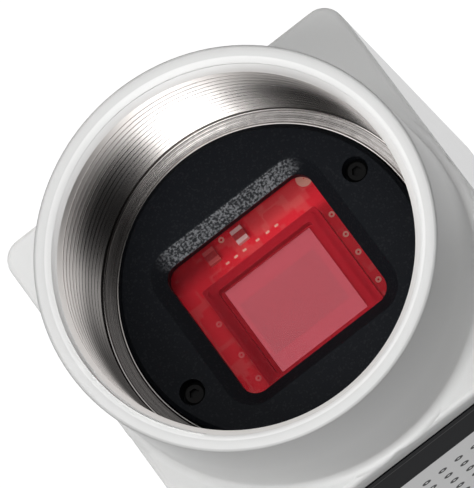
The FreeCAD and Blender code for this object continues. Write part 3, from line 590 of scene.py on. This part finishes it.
def add_turned(mesh, profile):
    """Ring of the closed profile of radii and depths, turned about the optical axis."""
    verts = [mesh.verts.new((r, y, 0.0)) for r, y in profile]
    edges = [mesh.edges.new((verts[i - 1], verts[i])) for i in range(len(verts))]
    bmesh.ops.spin(mesh, geom=verts + edges, cent=(0, 0, 0), axis=(0, 1, 0), dvec=(0, 0, 0),
                   angle=math.tau, steps=TURNED_STEPS, use_merge=True)
    bmesh.ops.remove_doubles(mesh, verts=mesh.verts, dist=1e-5)
    bmesh.ops.recalc_face_normals(mesh, faces=mesh.faces)


def add_screw_threads(mount, finish):
    """Threads in the two holes of a bolt pattern."""
    dims = mount["dims"]
    spread = Vector((dims.get("spacing_x_mm", 0), dims.get("spacing_y_mm", 0), 0)) / 2
    centre = (Vector(mount["pos_m"]) - CENTRE) / MM
    inward = -Vector(mount["axis"])
    root = dims["hole_r_mm"] + 0.01
    pitch, turns = SCREW_THREADS[mount["name"]]
    mesh = bmesh.new()
    for side in (-1, 1):
        one = bmesh.new()
        start = centre + spread * side + inward * SCREW_INSET
        add_thread(one, root, root - pitch * 0.55, pitch, start, turns, inward, SCREW_STEPS)
        bmesh.ops.recalc_face_normals(one, faces=one.faces)
        data = bpy.data.meshes.new("thread")
        one.to_mesh(data)
        one.free()
        mesh.from_mesh(data)
        bpy.data.meshes.remove(data)
    piece(mount["name"] + "_thread", mesh, finish, sharp_from=28)


def smooth_copy(node, finish, sharp_from):
    """A welded, smoothly shaded copy that stands for a solid whose round faces are facets."""
    mesh = bmesh.new()
    mesh.from_mesh(NODES[node].data)
    bmesh.ops.remove_doubles(mesh, verts=mesh.verts, dist=1e-7)
    data = bpy.data.meshes.new(node + "_skin")
    mesh.to_mesh(data)
    mesh.free()
    data.shade_smooth()
    data.set_sharp_from_angle(angle=math.radians(sharp_from))
    data.materials.clear()
    data.materials.append(finish.material)
    made = bpy.data.objects.new(node + "_skin", data)
    level = made.modifiers.new("flat faces first", "WEIGHTED_NORMAL")
    level.keep_sharp = True
    bpy.context.scene.collection.objects.link(made)
    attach(made, "root")
    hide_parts(node)


# ---- settings ----------------------------------------------------------------------------------
def colour_setting(name, text, default):
    """A colour that the user can change."""
    return bpy.props.FloatVectorProperty(name=name, description=text, default=default, subtype="COLOR",
                                         min=0.0, max=1.0)


def length_setting(name, text, default):
    """A length in metres that the user can change."""
    return bpy.props.FloatProperty(name=name, description=text, default=default, unit="LENGTH", min=0.0)


class BodySettings(bpy.types.PropertyGroup):
    """Colours of the housing's pieces."""
    casting_colour: colour_setting("Casting", "Blasted aluminium of the front housing", (0.68, 0.68, 0.675))
    bore_colour: colour_setting("Bore", "Turned aluminium inside the lens mount", (0.60, 0.57, 0.55))
    sleeve_colour: colour_setting("Sleeve", "Extruded aluminium of the body", (0.60, 0.60, 0.60))
    label_colour: colour_setting("Label", "Silver foil of the nameplate", (0.66, 0.66, 0.66))
    label_band: length_setting("Label band", "Width of the black band on the nameplate", 5.1 * MM)


class MountSettings(bpy.types.PropertyGroup):
    """Sizes of the lens mount's thread."""
    pitch: length_setting("Pitch", "One turn of the lens thread", INCH / 32 * MM)
    crest: length_setting("Crest radius", "Inner radius of the lens thread", 12.2 * MM)
    root: length_setting("Root radius", "Outer radius of the lens thread", 12.72 * MM)


class SensorSettings(bpy.types.PropertyGroup):
    """Colours behind the filter window."""
    board_colour: colour_setting("Board", "Red solder mask", (0.93, 0.028, 0.048))
    copper_colour: colour_setting("Copper", "Solder mask over copper", (0.90, 0.17, 0.16))
    die_colour: colour_setting("Die", "Border of the image sensor", (0.45, 0.10, 0.125))
    active_colour: colour_setting("Active area", "Light-sensitive field", (0.385, 0.098, 0.118))
    window_colour: colour_setting("Window", "Tint of the filter's glass", (0.9, 0.06, 0.08))
    pad_colour: colour_setting("Pads", "Gold-plated pads", (1.0, 0.62, 0.48))


class StageSettings(bpy.types.PropertyGroup):
    """Camera and lights."""
    distance: length_setting("Distance", "Camera to the front of the lens mount", 0.43975)
    focal_length: bpy.props.FloatProperty(name="Focal length", default=501.3, min=1.0,
                                          description="Lens of the camera in millimetres")
    heading: bpy.props.FloatProperty(name="Heading", description="Turn of the view about the upright",
                                     default=math.radians(-4.27), subtype="ANGLE")
    height: bpy.props.FloatProperty(name="Height", description="Angle of the view above level",
                                    default=math.radians(18.343), subtype="ANGLE")
    roll: bpy.props.FloatProperty(name="Roll", description="Turn of the picture about the line of sight",
                                  default=math.radians(143.56), subtype="ANGLE")
    ambient: bpy.props.FloatProperty(name="Ambient", description="Strength of the light from all round",
                                     default=0.14, min=0.0)
    level: bpy.props.FloatProperty(name="Light level", description="Strength of all lamps",
                                   default=1.0, min=0.0)


# ---- operators ---------------------------------------------------------------------------------
class CAMBODY_OT_stage(bpy.types.Operator):
    """Make the camera, the lamps, the world and the floor"""
    bl_idname = "cambody.stage"
    bl_label = "Stage"

    def execute(self, context):
        settings = context.scene.cambody_stage
        context.scene.view_settings.view_transform = "Standard"
        self.make_view(context.scene, settings)
        self.make_lamps(context.scene, settings)
        self.make_world(context.scene, settings)
        self.make_floor(context.scene)
        return {"FINISHED"}

    def make_view(self, scene, settings):
        """The camera: turned and raised to the view's angles, then rolled about its line of sight."""
        look = Vector((-math.sin(settings.heading) * math.cos(settings.height),
                       math.cos(settings.heading) * math.cos(settings.height), -math.sin(settings.height)))
        level = look.cross(Vector((0, 0, 1))).normalized()
        above = level.cross(look)
        across = level * math.cos(settings.roll) + above * math.sin(settings.roll)
        up = across.cross(look)
        data = bpy.data.cameras.new("view")
        data.sensor_fit, data.sensor_width, data.lens = "HORIZONTAL", 36.0, settings.focal_length
        data.clip_start, data.clip_end = 0.01, 50.0
        view = bpy.data.objects.new("view", data)
        turn = Matrix((across, up, -look)).transposed().to_4x4()
        view.matrix_world = Matrix.Translation(local(*AIM) - look * settings.distance) @ turn
        scene.collection.objects.link(view)
        scene.camera = view

    def make_lamps(self, scene, settings):
        """Round soft lamps that face the mount."""
        for name, towards, distance, size, radiance, mirrored in LAMPS:
            lamp = bpy.data.lights.new(name, "AREA")
            lamp.shape, lamp.size = "DISK", size
            lamp.energy = settings.level * radiance * (math.pi * size / 2) ** 2
            holder = bpy.data.objects.new(name, lamp)
            away = Vector(towards).normalized()
            holder.matrix_world = (Matrix.Translation(CENTRE + away * distance)
                                   @ away.to_track_quat("Z", "Y").to_matrix().to_4x4())
            holder.visible_glossy = mirrored
            scene.collection.objects.link(holder)

    def make_world(self, scene, settings):
        """White behind the object, dim light from all round, and the dark cards for metal to mirror."""
        world = bpy.data.worlds.new("studio")
        world.use_nodes = True
        sky = Graph(world.node_tree)
        direction = sky.add("ShaderNodeTexCoord", {}, {}, "Generated")
        mirrored = 1.0
        for towards, inner, outer, shade in DARK_CARDS:
            cosine = sky.add("ShaderNodeVectorMath", {"operation": "DOT_PRODUCT"}, {
                0: direction, 1: Vector(towards).normalized()}, "Value")
            outer, inner = math.cos(math.radians(outer)), math.cos(math.radians(inner))
            mirrored = mirrored - sky.remap(cosine, outer, inner, 0.0, shade, "SMOOTHSTEP")
        mirrored = mirrored.math("MAXIMUM", 0.0)
        dim, gloss, white = (sky.add("ShaderNodeBackground", {}, {"Strength": strength})
                             for strength in (settings.ambient, mirrored, 1.0))
        seen = sky.add("ShaderNodeMixShader", {}, {0: sky.rays("Glossy"), 1: dim, 2: gloss})
        seen = sky.add("ShaderNodeMixShader", {}, {0: sky.rays("Camera", "Transmission"), 1: seen, 2: white})
        output = world.node_tree.nodes.new("ShaderNodeOutputWorld")
        world.node_tree.links.new(seen.socket, output.inputs[0])
        scene.world = world

    def make_floor(self, scene):
        """Pale round floor that keeps the object's shadow."""
        mesh = bmesh.new()
        bmesh.ops.create_circle(mesh, cap_ends=True, segments=64, radius=FLOOR_RADIUS)
        data = bpy.data.meshes.new("floor")
        mesh.to_mesh(data)
        mesh.free()
        floor = bpy.data.objects.new("floor", data)
        floor.location.z = CAD_BOX[0][2] - FLOOR_GAP
        finish = Finish("floor_finish", Roughness=0.9)
        dust = finish.noise(0.02, 2.0)
        finish.set(Base_Color=finish.mix(dust, (0.86, 0.86, 0.86), (0.9, 0.9, 0.9)))
        white = finish.add("ShaderNodeEmission", {}, {"Strength": 1.2})
        shown = finish.add("ShaderNodeMixShader", {}, {
            0: finish.rays("Camera", "Glossy") * 0.86, 1: Value(finish, finish.shader.outputs[0]), 2: white})
        finish.tree.links.new(shown.socket, finish.output.inputs[0])
        data.materials.append(finish.material)
        scene.collection.objects.link(floor)


class CAMBODY_OT_housing(bpy.types.Operator):
    """Finish the housing: casting, sleeve, nameplate, rear plate, seal and screws"""
    bl_idname = "cambody.housing"
    bl_label = "Housing"

    def execute(self, context):
        settings = context.scene.cambody_body
        sleeve = settings.sleeve_colour
        smooth_copy("front_housing", front_casting(settings), sharp_from=32)
        smooth_copy("housing_sleeve", blasted_aluminium("sleeve_finish", sleeve, 0.35, 0.8), sharp_from=32)
        wear_finish("rear_plate", blasted_aluminium("rear_plate_finish", sleeve, 0.4, 0.8))
        wear_finish("housing_seal", soft_rubber("seal_finish", (0.012, 0.012, 0.014)))
        wear_finish("sensor_seal", soft_rubber("sensor_seal_finish", (0.006, 0.006, 0.007)))
        wear_finish("tie_screws", plated_metal("tie_screw_finish", (0.62, 0.61, 0.58), 0.3))
        wear_finish("nameplate", printed_foil(settings))
        return {"FINISHED"}


class CAMBODY_OT_threads(bpy.types.Operator):
    """Add the lens thread, the ring at its foot and the threads of the base and lock screw holes"""
    bl_idname = "cambody.threads"
    bl_label = "Threads"

    def execute(self, context):
        settings = context.scene.cambody_mount
        finish = thread_metal(context.scene.cambody_body, settings.crest / MM)
        mesh = bmesh.new()
        add_thread(mesh, settings.root / MM, settings.crest / MM, settings.pitch / MM, (0, THREAD_START, 0),
                   THREAD_TURNS, (0, 1, 0), THREAD_STEPS, THREAD_CONE)
        bmesh.ops.recalc_face_normals(mesh, faces=mesh.faces)
        piece("mount_thread", mesh, finish, sharp_from=28)

        ring = turned_ring("seat_ring_finish", context.scene.cambody_body.bore_colour)
        mesh = bmesh.new()
        add_turned(mesh, SEAT_RING)
        piece("seat_ring", mesh, ring, sharp_from=30)

        for mount in FRAME["record"]["mounts"]:
            if mount["kind"] == "bolt_pattern":
                add_screw_threads(mount, finish)
        return {"FINISHED"}


class CAMBODY_OT_filter(bpy.types.Operator):
    """Finish the filter frame, its screws and the filter's glass"""
    bl_idname = "cambody.filter"
    bl_label = "Filter"

    def execute(self, context):
        settings = context.scene.cambody_sensor
        wear_finish("filter_frame", grained_black_painted_sheen("filter_frame_finish", (0.0065, 0.0075, 0.0095), 0.35))
        black = moulded_plastic("frame_screw_finish", (0.004, 0.004, 0.004), 0.3)
        wear_finish("filter_frame_screws", black.set(Specular_IOR_Level=0.08))
        wear_finish("filter_glass", glass("filter_glass_finish", settings.window_colour, 0.06, gloss=0.15))
        return {"FINISHED"}


class CAMBODY_OT_sensor(bpy.types.Operator):
    """Finish the image sensor and its board, and add pads, vias and the active area"""
    bl_idname = "cambody.sensor"
    bl_label = "Sensor"

    def execute(self, context):
        settings = context.scene.cambody_sensor
        package = moulded_plastic("package_finish", (0.36, 0.008, 0.018), 0.4)
        wear_finish("sensor_package", package.set(Specular_IOR_Level=0.1))
        wear_finish("sensor_die", silicon("die_finish", settings.die_colour, 1.2, 2.0, 0.04, 0.14))
        wear_finish("sensor_cover_glass", glass("cover_glass_finish", (0.9, 0.04, 0.07), 0.01, gloss=0.02))
        wear_finish("sensor_board", laminate("sensor_board_finish", settings.board_colour,
                                             settings.copper_colour))
        wear_finish("sensor_board_chips", tinned_chips())
        wear_finish("sensor_board_screws", plated_metal("board_screw_finish", (0.6, 0.59, 0.57)))

        field = silicon("active_area_finish", settings.active_colour, 20.0, 1.0, 0.02, 0.12)
        mesh = bmesh.new()
        x, z = ACTIVE_MIDDLE
        add_block(mesh, ACTIVE_SIZE, (x, DIE_Y - ACTIVE_SIZE[1] / 2, z))
        piece("active_area", mesh, field)

        gold = Finish("pad_finish", Roughness=0.4)
        gold.set(Base_Color=gold.mix(gold.x > MASKED_VIAS_X, settings.pad_colour, (0.95, 0.2, 0.2)))
        mesh = bmesh.new()
        for x, z in VIAS:
            add_ring(mesh, *VIA_RADII, x, z)
        for x in PADS_X:
            add_block(mesh, PAD_SIZE, (x, BOARD_Y, PADS_Z))
        add_ring(mesh, *ROUND_PAD_RADII, *ROUND_PAD)
        piece("board_vias", mesh, gold, sharp_from=30)
        return {"FINISHED"}


class CAMBODY_OT_electronics(bpy.types.Operator):
    """Finish the boards, chips and pillars inside the body"""
    bl_idname = "cambody.electronics"
    bl_label = "Electronics"

    def execute(self, context):
        green = laminate("inner_board_finish", (0.01, 0.10, 0.045), (0.02, 0.16, 0.07))
        for node in ("processor_board", "power_board"):
            wear_finish(node, green)
        epoxy = moulded_plastic("chip_finish", (0.02, 0.02, 0.022), 0.5)
        for node in ("processor_chip", "memory_chips", "network_transformer", "power_coils"):
            wear_finish(node, epoxy)
        black = moulded_plastic("connector_finish", (0.03, 0.03, 0.032))
        for node in ("sensor_link_plug", "processor_link_socket", "board_header"):
            wear_finish(node, black)
        wear_finish("processor_heat_pad", soft_rubber("heat_pad_finish", (0.35, 0.42, 0.5)))
        wear_finish("board_pillars", plated_metal("pillar_finish", (0.70, 0.52, 0.22)))
        wear_finish("power_capacitors", plated_metal("can_finish", (0.75, 0.75, 0.75), 0.2))
        wear_finish("status_led", moulded_plastic("led_finish", (0.8, 0.8, 0.65), 0.3))
        return {"FINISHED"}


class CAMBODY_OT_connectors(bpy.types.Operator):
    """Finish the network jack, the round connector and the status light"""
    bl_idname = "cambody.connectors"
    bl_label = "Connectors"

    def execute(self, context):
        nickel = plated_metal("nickel_finish", (0.66, 0.65, 0.62), 0.28)
        black = moulded_plastic("jack_finish", (0.02, 0.02, 0.022), 0.4)
        gold = plated_metal("contact_finish", (0.85, 0.60, 0.25), 0.2)
        wear_finish("jack_shield", nickel)
        wear_finish("jack_body", black)
        wear_finish("jack_contacts", gold)
        smooth_copy("io_connector_shell", nickel, sharp_from=30)
        wear_finish("io_connector_insulator", black)
        wear_finish("io_connector_pins", gold)
        wear_finish("io_connector_nut", nickel)
        wear_finish("status_light_pipe", glass("light_pipe_finish", (0.7, 0.85, 0.72), 0.7, 0.15))
        return {"FINISHED"}


STEPS = (CAMBODY_OT_stage, CAMBODY_OT_housing, CAMBODY_OT_threads, CAMBODY_OT_filter, CAMBODY_OT_sensor,
         CAMBODY_OT_electronics, CAMBODY_OT_connectors)


class CAMBODY_PT_panel(bpy.types.Panel):
    """The camera body's pieces and their settings"""
    bl_idname = "CAMBODY_PT_panel"
    bl_label = "Camera Body"
    bl_space_type = "VIEW_3D"
    bl_region_type = "UI"
    bl_category = "Camera Body"

    def draw(self, context):
        for step in STEPS:
            self.layout.operator(step.bl_idname)
        for name in SETTINGS:
            group = getattr(context.scene, name)
            box = self.layout.box()
            for prop in group.bl_rna.properties:
                if prop.identifier not in ("name", "rna_type"):
                    box.prop(group, prop.identifier)


SETTINGS = {"cambody_body": BodySettings, "cambody_mount": MountSettings, "cambody_sensor": SensorSettings,
            "cambody_stage": StageSettings}


def register():
    for kind in tuple(SETTINGS.values()) + STEPS + (CAMBODY_PT_panel,):
        bpy.utils.register_class(kind)
    for name, kind in SETTINGS.items():
        setattr(bpy.types.Scene, name, bpy.props.PointerProperty(type=kind))


def unregister():
    for name in SETTINGS:
        delattr(bpy.types.Scene, name)
    for kind in reversed(tuple(SETTINGS.values()) + STEPS + (CAMBODY_PT_panel,)):
        bpy.utils.unregister_class(kind)


def main():
    register()
    bpy.ops.cambody.stage()
    bpy.ops.cambody.housing()
    bpy.ops.cambody.threads()
    bpy.ops.cambody.filter()
    bpy.ops.cambody.sensor()
    bpy.ops.cambody.electronics()
    bpy.ops.cambody.connectors()


if __name__ == "__main__":
    main()
